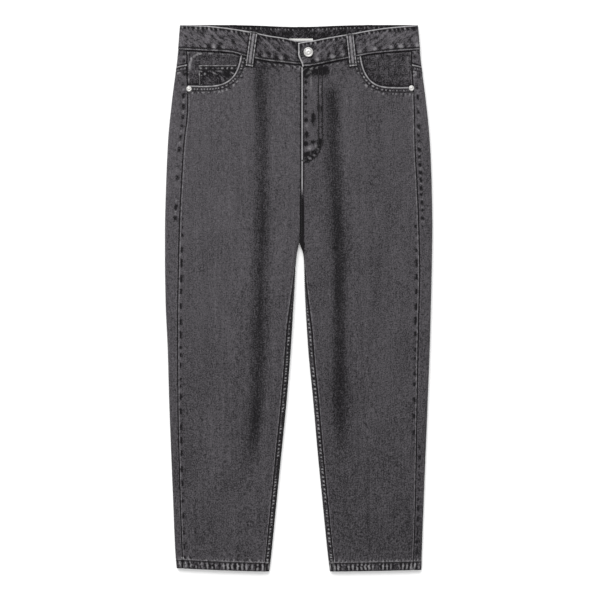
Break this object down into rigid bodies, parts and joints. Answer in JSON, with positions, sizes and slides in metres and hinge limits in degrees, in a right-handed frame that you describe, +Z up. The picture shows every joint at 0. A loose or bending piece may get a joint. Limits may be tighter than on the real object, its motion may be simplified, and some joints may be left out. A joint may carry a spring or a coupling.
{
  "type": "jeans laid flat",
  "caption": "Tapered high-waist jeans in washed black denim, laid flat face up with the fly buttoned, belt loops, rivets and hollow legs.",
  "frame": {"origin": "middle of the garment's outline, on the surface it lies on", "axes": "+X towards the wearer's left leg, +Y from the hems to the waist, +Z up out of the garment's front"},
  "size_m": [0.482, 0.983, 0.0188],
  "materials": {
    "denim": "washed black cotton denim with grey wear on seams and edges",
    "dark_denim": "less worn black denim behind the pocket openings",
    "white_label": "blank white woven label",
    "silver_metal": "brushed pale silver metal"
  },
  "bodies": {
    "root": {"front_right": "denim", "front_left": "denim", "back_right": "denim", "back_left": "denim", "yoke_right": "denim", "yoke_left": "denim", "waistband": "denim", "pocket_facing_right": "dark_denim", "pocket_facing_left": "dark_denim", "coin_pocket": "denim", "back_pocket_right": "denim", "back_pocket_left": "denim", "belt_loop_front_right": "denim", "belt_loop_front_left": "denim", "belt_loop_back_right": "denim", "belt_loop_centre_back": "denim", "belt_loop_back_left": "denim", "label": "white_label", "button": "silver_metal", "rivet_right": "silver_metal", "rivet_left": "silver_metal"}
  },
  "joints": []
}
